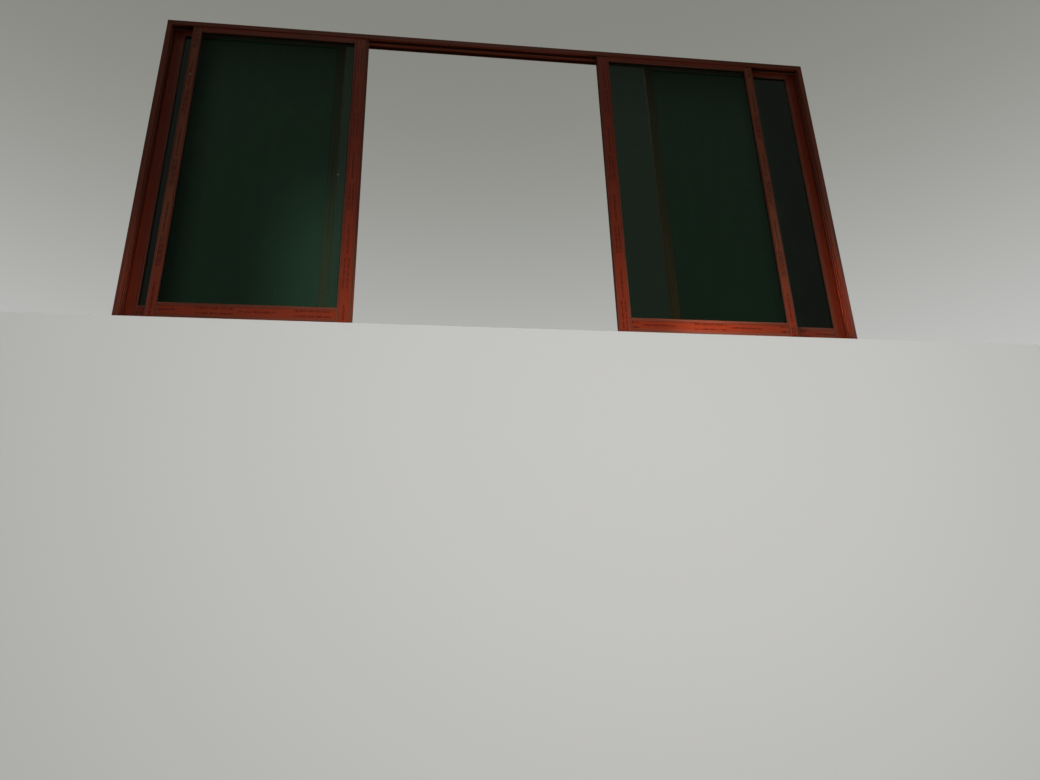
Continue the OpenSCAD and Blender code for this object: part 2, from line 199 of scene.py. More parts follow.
def new_piece(name, points, faces, material, uv=None, marks=None):
    """Makes a smooth mesh piece from arrays.

    uv has a pair for each corner of each face, and marks holds named numbers for each point.
    """
    mesh = bpy.data.meshes.new(name)
    mesh.from_pydata(points.tolist(), [], list(faces))
    mesh.update()
    if uv is not None:
        layer = mesh.uv_layers.new(name="UVMap")
        layer.data.foreach_set("uv", uv.astype(np.float32).ravel())
    for mark, values in (marks or {}).items():
        layer = mesh.attributes.new(mark, "FLOAT", "POINT")
        layer.data.foreach_set("value", values.astype(np.float32))
    mesh.polygons.foreach_set("use_smooth", np.full(len(mesh.polygons), True))
    mesh.materials.append(material)
    piece = bpy.data.objects.new(name, mesh)
    bpy.context.scene.collection.objects.link(piece)
    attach(piece, BODY)


# Materials


def stretched(along, length, width):
    """Scale of a pattern that has one length along an axis and one width across it."""
    return [1 / (length if axis == along else width) for axis in "XYZ"]


def coated_aluminium(name, along, settings):
    """Extruded aluminium, powder coated and printed with a mahogany grain, satin.

    To the eye: red-brown with thin dark streaks along the member, a fine orange peel in the
    gloss, dust where a face looks up, and bare metal where the member was sawn or drilled.
    """
    material, tree = new_material(name)
    place = add(tree, "ShaderNodeTexCoord").outputs["Object"]
    # Streaks are 2.5 mm wide and 350 mm long; broad bands are 14 mm wide and 900 mm long.
    # They are drawn as coarse as the render can show.
    thin = add(tree, "ShaderNodeMapping", {"Vector": place, "Scale": stretched(along, 0.35, 2.5 * MM)})
    broad = add(tree, "ShaderNodeMapping", {"Vector": place, "Scale": stretched(along, 0.9, 14 * MM)})
    streak = add(tree, "ShaderNodeTexNoise", {"Vector": thin, "Scale": 1.0, "Detail": 3.0, "Roughness": 0.6})
    band = add(tree, "ShaderNodeTexNoise", {"Vector": broad, "Scale": 1.0, "Detail": 2.0})
    grain = add(tree, "ShaderNodeValToRGB", {"Fac": streak})
    ends = grain.color_ramp.elements
    ends[0].position, ends[0].color = 0.36, linear(settings.grain_hex)
    ends[1].position, ends[1].color = 0.56, linear(settings.coat_hex)
    tone = add(tree, "ShaderNodeMapRange",
               {"Value": band, "From Min": 0.35, "From Max": 0.65, "To Min": 0.84, "To Max": 1.12})
    toned = add(tree, "ShaderNodeVectorMath", {0: grain, 1: tone}, operation="MULTIPLY")
    # Dust lies on what looks up, in patches of about 40 mm, and makes the coat dull.
    normal = add(tree, "ShaderNodeNewGeometry").outputs["Normal"]
    facing = add(tree, "ShaderNodeSeparateXYZ", {0: normal})
    patches = add(tree, "ShaderNodeTexNoise",
                  {"Vector": place, "Scale": 1 / (40 * MM), "Detail": 6.0, "Roughness": 0.65})
    up = add(tree, "ShaderNodeMapRange",
             {"Value": facing.outputs["Z"], "From Min": 0.6, "From Max": 1.0, "To Max": 0.75})
    dust = add(tree, "ShaderNodeMath", {0: up, 1: patches}, operation="MULTIPLY")
    dusted = add(tree, "ShaderNodeMix", {"Factor": dust, "A": toned, "B": linear(settings.dust_hex)},
                 data_type="RGBA")
    gloss = add(tree, "ShaderNodeMapRange",
                {"Value": patches, "To Min": settings.gloss_low, "To Max": settings.gloss_high})
    rough = add(tree, "ShaderNodeMath", {0: dust, 1: gloss}, operation="ADD")
    # Orange peel of powder coat: waves of 0.8 mm, a hundredth of that high.
    peel = add(tree, "ShaderNodeTexNoise", {"Vector": place, "Scale": 1 / (0.8 * MM), "Detail": 1.0})
    bump = add(tree, "ShaderNodeBump", {"Height": peel, "Strength": 0.12, "Distance": 0.05 * MM})
    # The coat was on before the saw, so a face square to the member's length is bare.
    square = add(tree, "ShaderNodeMath", {0: facing.outputs[along]}, operation="ABSOLUTE")
    cut = add(tree, "ShaderNodeMath", {0: square, 1: 0.95}, operation="GREATER_THAN")
    colour = add(tree, "ShaderNodeMix", {"Factor": cut, "A": dusted, "B": linear(settings.bare_hex)},
                 data_type="RGBA")
    shader = add(tree, "ShaderNodeBsdfPrincipled",
                 {"Base Color": colour, "Roughness": rough, "Metallic": cut, "Normal": bump,
                  "Specular IOR Level": 0.35})
    add(tree, "ShaderNodeOutputMaterial", {"Surface": shader})
    return material


def float_glass(name, settings):
    """Float glass tinted in the melt, 5 mm thick, with a hard green oxide coating.

    To the eye: nearly black green at a distance, because the coating mirrors green, with what
    is behind it just visible, and a faint haze of dust and wiping marks.
    """
    material, tree = new_material(name)
    place = add(tree, "ShaderNodeTexCoord").outputs["Object"]
    # Wiping marks are slanting smears of about 110 by 330 mm, seen only as changes of gloss.
    slanting = add(tree, "ShaderNodeMapping",
                   {"Vector": place, "Scale": (9.0, 1.0, 3.0), "Rotation": (0.0, 0.6, 0.0)})
    smear = add(tree, "ShaderNodeTexNoise",
                {"Vector": slanting, "Scale": 1.0, "Detail": 4.0, "Distortion": 1.5})
    rough = add(tree, "ShaderNodeMapRange",
                {"Value": smear, "From Min": 0.45, "From Max": 0.75, "To Min": 0.01, "To Max": 0.09})
    tint = linear(settings.glass_hex)
    shader = add(tree, "ShaderNodeBsdfPrincipled",
                 {"Base Color": tint, "Roughness": rough, "IOR": 1.52, "Transmission Weight": 1.0,
                  "Specular Tint": linear(settings.mirror_hex)})
    # A pane has two faces, so each lets the lamps' light through with the root of the tint.
    clear = add(tree, "ShaderNodeBsdfTransparent", {"Color": [math.sqrt(c) for c in tint]})
    lamps = add(tree, "ShaderNodeLightPath").outputs["Is Shadow Ray"]
    pane = add(tree, "ShaderNodeMixShader", {0: lamps, 1: shader, 2: clear})
    add(tree, "ShaderNodeOutputMaterial", {"Surface": pane})
    return material


def gasket_rubber(name):
    """Extruded EPDM rubber: black and matt, with a grey bloom in patches of about 20 mm."""
    material, tree = new_material(name)
    place = add(tree, "ShaderNodeTexCoord").outputs["Object"]
    bloom = add(tree, "ShaderNodeTexNoise", {"Vector": place, "Scale": 1 / (20 * MM), "Detail": 5.0})
    colour = add(tree, "ShaderNodeMix", {"Factor": bloom, "A": linear("#0C0C0C"), "B": linear("#2A2926")},
                 data_type="RGBA")
    rough = add(tree, "ShaderNodeMapRange", {"Value": bloom, "To Min": 0.5, "To Max": 0.8})
    shader = add(tree, "ShaderNodeBsdfPrincipled", {"Base Color": colour, "Roughness": rough, "IOR": 1.5})
    add(tree, "ShaderNodeOutputMaterial", {"Surface": shader})
    return material


def wool_pile(name):
    """Woven pile brush of dark polypropylene: matt and soft, seen as tufts of 1 mm."""
    material, tree = new_material(name)
    place = add(tree, "ShaderNodeTexCoord").outputs["Object"]
    # Real fibres are 0.05 mm; tufts are drawn 1 mm wide, as coarse as a close view needs.
    tufts = add(tree, "ShaderNodeTexNoise", {"Vector": place, "Scale": 1 / (1.0 * MM), "Detail": 2.0})
    colour = add(tree, "ShaderNodeMix", {"Factor": tufts, "A": linear("#151413"), "B": linear("#393735")},
                 data_type="RGBA")
    bump = add(tree, "ShaderNodeBump", {"Height": tufts, "Strength": 0.8, "Distance": 0.5 * MM})
    shader = add(tree, "ShaderNodeBsdfPrincipled",
                 {"Base Color": colour, "Roughness": 0.95, "Sheen Weight": 0.1, "Normal": bump})
    add(tree, "ShaderNodeOutputMaterial", {"Surface": shader})
    return material


def zinc_steel(name):
    """Zinc-plated pressed steel: blue-grey metal with cloudy spangle patches of about 5 mm."""
    material, tree = new_material(name)
    place = add(tree, "ShaderNodeTexCoord").outputs["Object"]
    cloud = add(tree, "ShaderNodeTexNoise", {"Vector": place, "Scale": 1 / (5 * MM), "Detail": 3.0})
    colour = add(tree, "ShaderNodeMix", {"Factor": cloud, "A": linear("#8E9194"), "B": linear("#C4C7C9")},
                 data_type="RGBA")
    rough = add(tree, "ShaderNodeMapRange", {"Value": cloud, "To Min": 0.25, "To Max": 0.5})
    shader = add(tree, "ShaderNodeBsdfPrincipled",
                 {"Base Color": colour, "Roughness": rough, "Metallic": 1.0})
    add(tree, "ShaderNodeOutputMaterial", {"Surface": shader})
    return material


def dried_plaster(name):
    """Dried cement plaster: warm grey and chalky, with a grain of 1 mm."""
    material, tree = new_material(name)
    place = add(tree, "ShaderNodeTexCoord").outputs["Object"]
    grit = add(tree, "ShaderNodeTexNoise", {"Vector": place, "Scale": 1 / (1.0 * MM), "Detail": 3.0})
    colour = add(tree, "ShaderNodeMix", {"Factor": grit, "A": linear("#94807A"), "B": linear("#B8A69C")},
                 data_type="RGBA")
    shader = add(tree, "ShaderNodeBsdfPrincipled", {"Base Color": colour, "Roughness": 0.95})
    add(tree, "ShaderNodeOutputMaterial", {"Surface": shader})
    return material


def print_cover(tree, along, across, spread, settings):
    """How much print covers a place on a strip of film: plain dashes in groups and rows.

    Along a strip come a block of two rows, a block of one row on the middle line, and a gap.
    The two rows lie as far from the middle line as spread says.
    """
    # The second row's dashes start at another place than the first row's.
    side = add(tree, "ShaderNodeMath", {0: across}, operation="SIGN")
    start = add(tree, "ShaderNodeMath", {0: side, 1: ROW_SHIFT, 2: along}, operation="MULTIPLY_ADD")
    inked = []
    for length, gap, uneven in (GROUP, DASH):
        cells = add(tree, "ShaderNodeTexVoronoi", {"W": start, "Scale": 1 / length, "Randomness": uneven},
                    voronoi_dimensions="1D", feature="DISTANCE_TO_EDGE")
        inked.append(add(tree, "ShaderNodeMath", {0: cells, 1: gap / length / 2}, operation="GREATER_THAN"))
    solid = add(tree, "ShaderNodeMath", {0: inked[0], 1: inked[1]}, operation="MULTIPLY")
    # Each dash has a height of its own, from half the tallest to the tallest. Heights are
    # measured each way from the middle line of a row.
    length, _, uneven = DASH
    kind = add(tree, "ShaderNodeTexVoronoi", {"W": start, "Scale": 1 / length, "Randomness": uneven},
               voronoi_dimensions="1D")
    tallest = settings.print_height / 2
    tall = add(tree, "ShaderNodeMapRange",
               {"Value": kind.outputs["Color"], "From Min": 0.35, "From Max": 0.65,
                "To Min": 0.5 * tallest, "To Max": tallest})
    off_middle = add(tree, "ShaderNodeMath", {0: across}, operation="ABSOLUTE")
    past = add(tree, "ShaderNodeMath", {0: off_middle, 1: spread}, operation="SUBTRACT")
    off_rows = add(tree, "ShaderNodeMath", {0: past}, operation="ABSOLUTE")
    turn = add(tree, "ShaderNodeMath", {0: along, 1: settings.print_repeat}, operation="FLOORED_MODULO")
    half = settings.block_length / 2
    rows = []
    for first, off in ((0.0, off_rows), (settings.block_length + settings.block_gap, off_middle)):
        in_block = add(tree, "ShaderNodeMath", {0: turn, 1: first + half, 2: half}, operation="COMPARE")
        in_row = add(tree, "ShaderNodeMath", {0: off, 1: tall}, operation="LESS_THAN")
        rows.append(add(tree, "ShaderNodeMath", {0: in_block, 1: in_row}, operation="MULTIPLY"))
    printed = add(tree, "ShaderNodeMath", {0: rows[0], 1: rows[1]}, operation="ADD")
    cover = add(tree, "ShaderNodeMath", {0: printed, 1: settings.print_strength}, operation="MULTIPLY")
    cover = add(tree, "ShaderNodeMath", {0: cover, 1: solid}, operation="MULTIPLY")
    has_print = add(tree, "ShaderNodeMath", {0: spread, 1: PLAIN / 2}, operation="GREATER_THAN")
    return add(tree, "ShaderNodeMath", {0: cover, 1: has_print}, operation="MULTIPLY")


def protective_film(name, settings):
    """Thin polyethylene film over the coating, with blocks of plain printed dashes.

    To the eye: glossier and redder than the bare coat, dark red dashes in two rows and then in
    one, and fine creases that catch the light; browner and greyer where a painted reflection of
    grey light is mixed in. The UV map runs in metres along a strip and across it from its middle
    line. The attribute row_spread is where the outer rows of print lie, and the other attribute
    is how much of the painted reflection is mixed in.
    """
    material, tree = new_material(name)
    uv = add(tree, "ShaderNodeUVMap", uv_map="UVMap")
    axes = add(tree, "ShaderNodeSeparateXYZ", {0: uv})
    spread = add(tree, "ShaderNodeAttribute", attribute_name="row_spread").outputs["Fac"]
    # How much painted reflection of grey light is mixed into the film's colour.
    painted_reflection = add(tree, "ShaderNodeAttribute", attribute_name="painted_reflection").outputs["Fac"]
    # The colour and the gloss of the film drift in patches of 60 mm.
    place = add(tree, "ShaderNodeTexCoord").outputs["Object"]
    cloud = add(tree, "ShaderNodeTexNoise", {"Vector": place, "Scale": 1 / (60 * MM), "Detail": 4.0})
    clear = add(tree, "ShaderNodeMix",
                {"Factor": cloud, "A": linear(settings.film_hex), "B": linear(settings.film_deep_hex)},
                data_type="RGBA")
    # Painted reflection: the film's colour turns towards a greyer brown, in place of grey light that the
    # glossy film mirrors.
    base = add(tree, "ShaderNodeMix", {"Factor": painted_reflection, "A": clear, "B": linear(settings.painted_reflection_hex)},
               data_type="RGBA")
    ink = print_cover(tree, axes.outputs["X"], axes.outputs["Y"], spread, settings)
    colour = add(tree, "ShaderNodeMix", {"Factor": ink, "A": base, "B": linear(settings.print_hex)},
                 data_type="RGBA")
    # Fine creases: waves of 6 mm across and 40 mm along.
    creased = add(tree, "ShaderNodeMapping", {"Vector": uv, "Scale": (1 / (40 * MM), 1 / (6 * MM), 1.0)})
    crease = add(tree, "ShaderNodeTexNoise",
                 {"Vector": creased, "Scale": 1.0, "Detail": 3.0, "Distortion": 0.8})
    bump = add(tree, "ShaderNodeBump", {"Height": crease, "Strength": 0.35, "Distance": 0.2 * MM})
    rough = add(tree, "ShaderNodeMapRange", {"Value": cloud, "To Min": 0.22, "To Max": 0.42})
    shader = add(tree, "ShaderNodeBsdfPrincipled",
                 {"Base Color": colour, "Roughness": rough, "IOR": 1.5, "Normal": bump})
    add(tree, "ShaderNodeOutputMaterial", {"Surface": shader})
    return material


def studio_floor(name):
    """Matt painted studio floor, pale warm grey."""
    material, tree = new_material(name)
    shader = add(tree, "ShaderNodeBsdfPrincipled", {"Base Color": linear("#D9D8D4"), "Roughness": 0.9})
    add(tree, "ShaderNodeOutputMaterial", {"Surface": shader})
    return material


# Shapes


def grid_faces(rows, columns, first=0):
    """Quads of a grid of points whose rows follow each other."""
    at = first + np.arange(rows * columns).reshape(rows, columns)
    return np.stack([at[:-1, :-1], at[1:, :-1], at[1:, 1:], at[:-1, 1:]], -1).reshape(-1, 4)


def film_sheet(length, width, seed, settings):
    """One strip of film as a closed thin sheet, along s, across t, lifted by h.

    The lift is a thin layer of air, plus ridges whose height falls off as a bell across each
    ridge and more slowly along it, plus a flutter that grows with the eighth power of the
    distance from the middle line. The under side is the same surface, one film thickness
    lower. Returns points as (s, t, h), faces and one UV pair for each corner of each face.
    """
    rng = np.random.default_rng(seed)
    rows = max(int(length / settings.film_step), 2) + 1
    columns = 9
    s, t = np.meshgrid(np.linspace(0, length, rows), np.linspace(-width / 2, width / 2, columns),
                       indexing="ij")
    lift = np.full_like(s, FILM_AIR)
    count = max(int(length / settings.crease_every), 1)
    ridge_s, ridge_t = rng.uniform(0, length, count), rng.uniform(-0.5, 0.5, count) * width
    angle = rng.uniform(-CREASE_TURN, CREASE_TURN, count)
    high = rng.uniform(CREASE_LOWEST, 1.0, count) * settings.crease_height
    wide, long = rng.uniform(*CREASE_WIDE, count) * MM, rng.uniform(*CREASE_LONG, count) * MM
    for k in range(count):
        ds, dt = s - ridge_s[k], t - ridge_t[k]
        cross = -ds * math.sin(angle[k]) + dt * math.cos(angle[k])
        run = ds * math.cos(angle[k]) + dt * math.sin(angle[k])
        lift += high[k] * np.exp(-((cross / wide[k]) ** 2) - (run / long[k]) ** 2)
    wave = np.sin(s * rng.uniform(*FLUTTER_SHORT) + rng.uniform(0, 6))
    wave += np.sin(s * rng.uniform(*FLUTTER_LONG))
    lift += settings.edge_flutter * np.clip(wave, 0, None) * np.abs(2 * t / width) ** 8
    top = np.stack([s, t, lift], -1).reshape(-1, 3)
    under = top - np.array([0, 0, settings.film_thickness])
    n = rows * columns
    upper = grid_faces(rows, columns)
    lower = grid_faces(rows, columns, n)[:, ::-1]
    at = np.arange(n).reshape(rows, columns)
    rim = np.concatenate([at[:, 0], at[-1, 1:], at[-2::-1, -1], at[0, -2:0:-1]])
    after = np.roll(rim, -1)
    side = np.stack([rim, rim + n, after + n, after], -1)
    faces = np.concatenate([upper, lower, side])
    # The print starts at another place on each strip.
    flat = np.concatenate([top[:, :2], top[:, :2]]) + np.array([rng.uniform(0, 3), 0.0])
    return np.concatenate([top, under]), faces, flat[faces.ravel()]


def closed_dome(x, y, height, crown):
    """A dome through rings of points, from the middle outwards, with a pole on top and underneath.

    Returns points as (across, up, height) and faces with four corners, or three at the poles.
    """
    rings, spokes = x.shape
    shell = np.stack([x, y, height], -1).reshape(-1, 3)
    poles = np.array([[0, 0, crown], [0, 0, 0]])
    at = np.arange(rings * spokes).reshape(rings, spokes)
    after = np.roll(at, -1, axis=1)
    walls = np.stack([at[:-1], at[1:], after[1:], after[:-1]], -1).reshape(-1, 4)
    top = np.stack([np.full(spokes, len(shell)), at[0], after[0]], -1)
    foot = np.stack([np.full(spokes, len(shell) + 1), after[-1], at[-1]], -1)
    return np.concatenate([shell, poles]), [walls, top, foot]


def pan_head(diameter, tall):
    """A pan-head screw's head with a cross recess, standing on its own axis, closed underneath.

    Along a radius r from 0 to 1 the height is a quarter ellipse, sqrt(1 - r^2). Inside the
    cross, the height falls by a quarter of the head and by a cone that ends at its tips. The
    rings lie closer towards the rim, at the power 0.8 of even steps.
    """
    rings, spokes = 14, 36
    r = np.linspace(0, 1, rings + 1)[1:] ** 0.8
    turn = np.arange(spokes) * 2 * math.pi / spokes
    rr, aa = np.meshgrid(r, turn, indexing="ij")
    x, y = rr * np.cos(aa), rr * np.sin(aa)
    slot_half, slot_tip, slot_deep, cone_deep = 0.13, 0.62, 0.25, 0.6
    cross = (np.minimum(np.abs(x), np.abs(y)) < slot_half) & (rr < slot_tip)
    sunk = slot_deep + cone_deep * np.clip(1 - rr / slot_tip, 0, 1)
    height = np.sqrt(np.clip(1 - rr**2, 0, 1)) - cross * sunk
    crown = 1 - slot_deep - cone_deep
    return closed_dome(x * diameter / 2, y * diameter / 2, height * tall, crown * tall)


def dried_drop(radius, tall, seed):
    """A dried drop of plaster with a wavy outline, flat underneath.

    At a share q of the way out the height is 1 - q^2. The outline is a circle whose radius
    swells and shrinks in two, three and five waves.
    """
    start = np.random.default_rng(seed).uniform(0, 2 * math.pi, 3)
    rings, spokes, swell = 12, 48, 0.09
    q = np.linspace(0, 1, rings + 1)[1:]
    turn = np.arange(spokes) * 2 * math.pi / spokes
    outline = 1 + sum(swell * np.sin(waves * turn + start[k]) for k, waves in enumerate((2, 3, 5)))
    out = radius * np.outer(q, outline)
    height = np.repeat(tall * (1 - q**2), spokes).reshape(rings, spokes)
    return closed_dome(out * np.cos(turn), out * np.sin(turn), height, tall)


def joined(shapes):
    """Several shapes as one. Each is its points and a list of arrays of faces."""
    points, faces, count = [], [], 0
    for shape, patches in shapes:
        points.append(shape)
        for patch in patches:
            faces += (patch + count).tolist()
        count += len(shape)
    return np.concatenate(points), faces


# Settings


class CoatingSettings(PropertyGroup):
    coat_hex: StringProperty(name="Coat", description="Colour of the coating, sRGB hex", default="#8C4736")
    grain_hex: StringProperty(
        name="Grain", description="Colour of the grain's streaks, sRGB hex", default="#612F21")
    bare_hex: StringProperty(
        name="Bare metal", description="Colour of sawn and drilled faces, sRGB hex", default="#B4B6B8")
    dust_hex: StringProperty(name="Dust", description="Colour of settled dust, sRGB hex", default="#A89C90")
    gloss_low: FloatProperty(
        name="Lowest roughness", description="Roughness where the coat is clean",
        default=0.34, min=0, max=1, subtype="FACTOR")
    gloss_high: FloatProperty(
        name="Highest roughness", description="Roughness where the coat is dull",
        default=0.5, min=0, max=1, subtype="FACTOR")


class GlassSettings(PropertyGroup):
    glass_hex: StringProperty(name="Glass", description="Tint of one pane, sRGB hex", default="#9FB3A4")
    mirror_hex: StringProperty(
        name="Coating", description="Colour that the glass mirrors, sRGB hex", default="#BCFFD0")


class FilmSettings(PropertyGroup):
    film_hex: StringProperty(
        name="Film", description="Colour of the film over the coat, sRGB hex", default="#9A3A20")
    film_deep_hex: StringProperty(
        name="Film, deep", description="Its deeper patches, sRGB hex", default="#8A2E18")
    # The colour of the film's painted reflection of grey light, and the heights above a strip's foot between
    # which it fades in.
    painted_reflection_hex: StringProperty(
        name="Film, reflection_painted", description="Colour of reflection_painted film, sRGB hex", default="#8D4D32")
    painted_reflection_from: FloatProperty(
        name="Haze from", description="Height above a strip's foot where haze starts",
        default=0.1, unit="LENGTH")
    painted_reflection_full: FloatProperty(
        name="Haze full", description="Height above a strip's foot where haze is full",
        default=0.5, unit="LENGTH")
    print_hex: StringProperty(
        name="Print", description="Colour of the printed dashes, sRGB hex", default="#541009")
    print_strength: FloatProperty(
        name="Print strength", description="How much the print covers",
        default=0.9, min=0, max=1, subtype="FACTOR")
    print_height: FloatProperty(
        name="Print height", description="Height of the tallest dashes", default=10 * MM, unit="LENGTH")
    print_repeat: FloatProperty(
        name="Print repeat", description="Length after which the print repeats",
        default=0.4, unit="LENGTH")
    block_length: FloatProperty(
        name="Block length", description="Length of a block of print", default=0.15, unit="LENGTH")
    block_gap: FloatProperty(
        name="Block gap", description="Gap between the two blocks of a repeat",
        default=0.02, unit="LENGTH")
    film_end: FloatProperty(
        name="End gap", description="Bare end of a strip, clear of the frame's fins",
        default=3 * MM, unit="LENGTH")
    film_thickness: FloatProperty(
        name="Thickness", description="Thickness of the film", default=0.08 * MM, unit="LENGTH")
    film_step: FloatProperty(
        name="Step", description="Grid step along a strip", default=6 * MM, unit="LENGTH")
    crease_every: FloatProperty(
        name="Crease spacing", description="Mean distance between creases", default=0.05, unit="LENGTH")
    crease_height: FloatProperty(
        name="Crease height", description="Highest crease", default=0.7 * MM, unit="LENGTH")
    edge_flutter: FloatProperty(
        name="Edge flutter", description="How far loose edges stand off",
        default=0.5 * MM, unit="LENGTH")


class ScrewSettings(PropertyGroup):
    frame_head: FloatProperty(
        name="Frame screw", description="Diameter of a frame screw's head",
        default=7 * MM, unit="LENGTH")
    sash_head: FloatProperty(
        name="Sash screw", description="Diameter of a sash screw's head",
        default=4.2 * MM, unit="LENGTH")
    head_share: FloatProperty(
        name="Head height", description="Height of a head as a share of its diameter",
        default=0.27, min=0, max=1, subtype="FACTOR")


class SpeckSettings(PropertyGroup):
    height: FloatProperty(
        name="Height", description="Height of a speck of plaster", default=1.3 * MM, unit="LENGTH")


class StudioSettings(PropertyGroup):
    camera_place: FloatVectorProperty(
        name="Camera", description="Place of the camera", size=3, unit="LENGTH",
        default=(-0.3467, -3.0985, -1.5648))
    camera_turn: FloatVectorProperty(
        name="Camera turn", description="Turn of the camera about X, Y and Z", size=3, unit="ROTATION",
        default=tuple(math.radians(a) for a in (112.773, 1.502, -6.857)))
    focal_px: FloatProperty(
        name="Focal length", description="Focal length in pixels of the photograph",
        default=807.5, subtype="PIXEL")
    ledge_front: FloatProperty(
        name="Ledge", description="How far the floor's edge stands before the frame",
        default=38 * MM, unit="LENGTH")
    floor_drop: FloatProperty(
        name="Drop", description="Height of the step in front of the window", default=2.6, unit="LENGTH")
    floor_reach: FloatProperty(
        name="Floor", description="How far the floor reaches", default=14.0, unit="LENGTH")


# Operators, one for each piece or group of like pieces


class WINDOW_OT_coating(Operator):
    """Coat the frame and the sashes in wood-tone powder, grain along each member"""
    bl_idname = "window.coating"
    bl_label = "Wood-tone coating"

    def execute(self, context):
        settings = context.scene.window_coating
        level = coated_aluminium("mahogany_powder_coat_level", "X", settings)
        upright = coated_aluminium("mahogany_powder_coat_upright", "Z", settings)
        jambs = ("left_jamb", "right_jamb", "meeting_tongue")
        for members, others, coat in ((LEVEL_MEMBERS, ("head", "sill"), level),
                                      (UPRIGHT_MEMBERS, jambs, upright)):
            for node in (*others, *[f"{sash}_{member}" for sash in SASHES for member in members]):
                dress(node, coat)
        return {"FINISHED"}


class WINDOW_OT_glass(Operator):
    """Glaze the four sashes in dark green float glass"""
    bl_idname = "window.glass"
    bl_label = "Green glass"

    def execute(self, context):
        glass = float_glass("dark_green_float_glass", context.scene.window_glass)
        for sash in SASHES:
            dress(f"{sash}_glass", glass)
        return {"FINISHED"}


class WINDOW_OT_seals(Operator):
    """Finish the rubber gaskets and the pile brushes"""
    bl_idname = "window.seals"
    bl_label = "Gaskets and brushes"

    def execute(self, context):
        rubber = gasket_rubber("black_epdm_rubber")
        pile = wool_pile("dark_pile_brush")
        for sash in SASHES:
            dress(f"{sash}_gasket", rubber)
        for part in ("head", "sill", "left_jamb", "right_jamb"):
            dress(f"{part}_pile", pile)
        return {"FINISHED"}


class WINDOW_OT_rollers(Operator):
    """Plate the roller carriages in zinc"""
    bl_idname = "window.rollers"
    bl_label = "Rollers"

    def execute(self, context):
        zinc = zinc_steel("zinc_plated_steel")
        for sash in SASHES:
            dress(f"{sash}_rollers", zinc)
        return {"FINISHED"}


def film_strips(sash, settings):
    """Where the strips of one sash lie.

    Each has the middle of its start, the axis it runs along, the side it is on, its length
    and width, how far its outer rows of print lie from its middle line, and how much painted
    reflection of grey light greys its film.
    """
    end = settings.film_end
    # The film shows only clear of the frame's fins.
    left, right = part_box("left_jamb_pile")[1].x + end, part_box("right_jamb_pile")[0].x - end
    foot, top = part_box("sill")[1].z + end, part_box("head")[0].z - end
    # An interlock stile's box is thicker, because its hook stands on one face.
    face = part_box(f"{sash}_lock_stile")
    hook_side = 1 if sash.startswith("front") else -1
    strips = []
    for member, (width, spread, painted_reflection) in FILM.items():
        if member == "lock_stile" and sash.startswith("rear"):
            spread = PLAIN
        low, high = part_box(f"{sash}_{member}")
        for side in (-1, 1):
            if member == "interlock_stile" and side == hook_side:
                continue
            y = face[side > 0].y
            if member in LEVEL_MEMBERS:
                middle = (foot + high.z) / 2 if member == "bottom_rail" else top - width / 2
                strips.append(((low.x, y, middle), "X", side, high.x - low.x, width, spread, painted_reflection))
            else:
                middle = (low.x + high.x) / 2
                x0, x1 = max(middle - width / 2, left), min(middle + width / 2, right)
                strips.append((((x0 + x1) / 2, y, foot), "Z", side, top - foot, x1 - x0, spread, painted_reflection))
    return strips


class WINDOW_OT_film(Operator):
    """Lay strips of protective film on the faces of the sashes"""
    bl_idname = "window.film"
    bl_label = "Protective film"

    def execute(self, context):
        settings = context.scene.window_film
        material = protective_film("polyethylene_film_over_coat", settings)
        painted_reflection_span = (settings.painted_reflection_from, settings.painted_reflection_full)
        seed = 1
        for sash in SASHES:
            sheets, count = [], 0
            for (x, y, z), along, side, length, width, spread, painted_reflection in film_strips(sash, settings):
                flat, faces, uv = film_sheet(length, width, seed, settings)
                s, t, lift = flat.T
                if along == "Z":
                    placed = np.stack([x + side * t, y + side * lift, z + s], -1)
                else:
                    placed = np.stack([x + s, y + side * lift, z - side * t], -1)
                # The painted reflection fades in up a strip, so its foot keeps the film's clear colour.
                painted_reflections = painted_reflection * np.interp(s, painted_reflection_span, (0, 1))
                sheets.append((placed, faces + count, uv, np.full(len(flat), spread), painted_reflections))
                count += len(flat)
                seed += 1
            points, faces, uvs, spreads, painted_reflections = [np.concatenate(arrays) for arrays in zip(*sheets)]
            new_piece(f"{sash}_film", points, faces, material,
                      uv=uvs, marks={"row_spread": spreads, "painted_reflection": painted_reflections})
        return {"FINISHED"}


